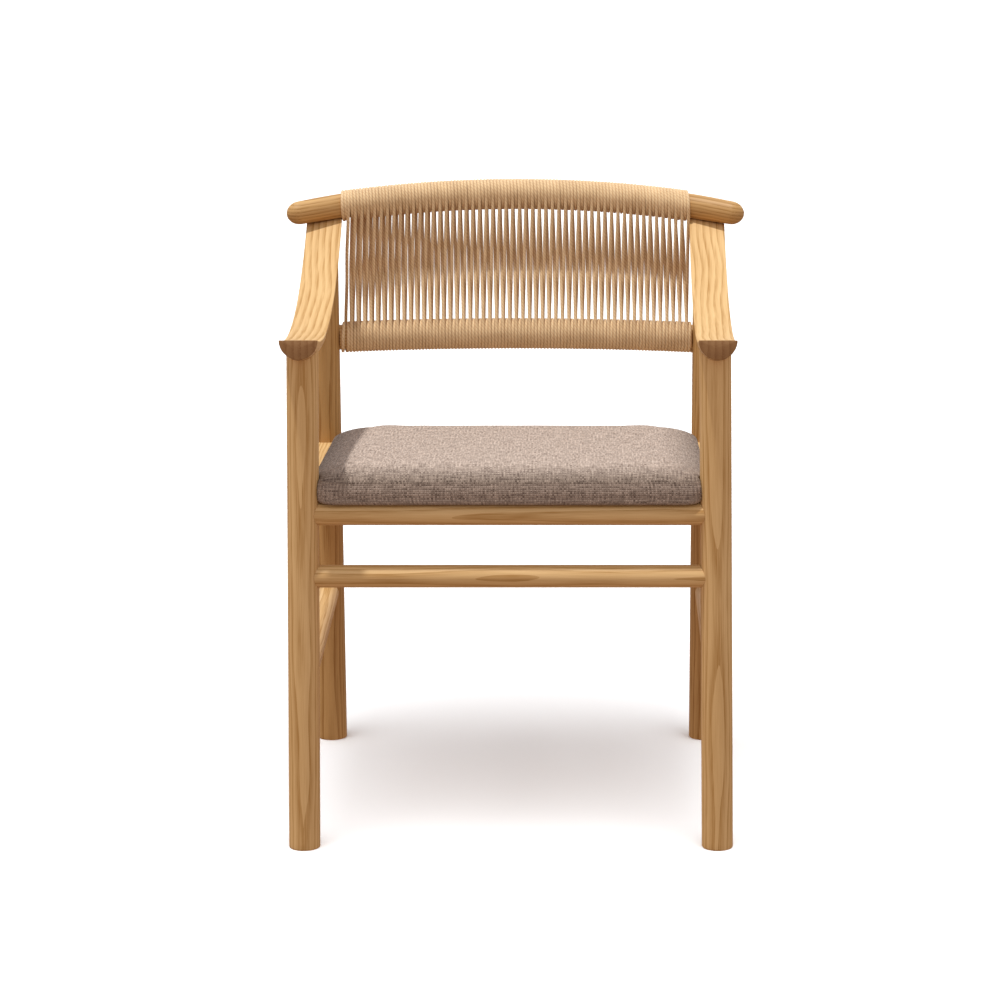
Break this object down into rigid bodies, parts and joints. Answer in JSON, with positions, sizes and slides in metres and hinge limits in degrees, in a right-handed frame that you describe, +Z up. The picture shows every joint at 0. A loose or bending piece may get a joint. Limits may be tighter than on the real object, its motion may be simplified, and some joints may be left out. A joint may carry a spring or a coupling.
{
  "type": "armchair",
  "caption": "Wooden armchair with a bowed, cord-wound back, sweeping half-round armrests and an upholstered seat pad.",
  "frame": {"origin": "on the floor, at the middle of the chair's overall width and depth", "axes": "+Z up; the sitter faces -Y, so the back is on the +Y side; +X is to the right seen from the front"},
  "size_m": [0.6082, 0.5836, 0.7739],
  "materials": {
    "frame_wood": "oiled natural ash, satin",
    "paper_cord": "twisted natural paper cord, matt",
    "tweed": "grey-beige melange tweed, matt",
    "foam": "upholstery foam",
    "plywood": "raw birch plywood",
    "steel": "zinc-plated screws"
  },
  "bodies": {
    "root": {"armrest_left": "frame_wood", "armrest_right": "frame_wood", "cord_web": "paper_cord", "corner_block_front_left": "frame_wood", "corner_block_front_right": "frame_wood", "corner_block_rear_left": "frame_wood", "corner_block_rear_right": "frame_wood", "crest_cord_wrap": "paper_cord", "crest_dowel_left": "frame_wood", "crest_dowel_right": "frame_wood", "crest_rail": "frame_wood", "front_leg_left": "frame_wood", "front_leg_right": "frame_wood", "front_seat_rail": "frame_wood", "front_stretcher": "frame_wood", "lower_back_rail": "frame_wood", "lower_cord_wrap": "paper_cord", "rear_leg_left": "frame_wood", "rear_leg_right": "frame_wood", "rear_seat_rail": "frame_wood", "seat_cover": "tweed", "seat_foam": "foam", "seat_panel": "plywood", "seat_screw_front_left": "steel", "seat_screw_front_right": "steel", "seat_screw_rear_left": "steel", "seat_screw_rear_right": "steel", "side_seat_rail_left": "frame_wood", "side_seat_rail_right": "frame_wood", "side_stretcher_left": "frame_wood", "side_stretcher_right": "frame_wood"}
  },
  "joints": []
}
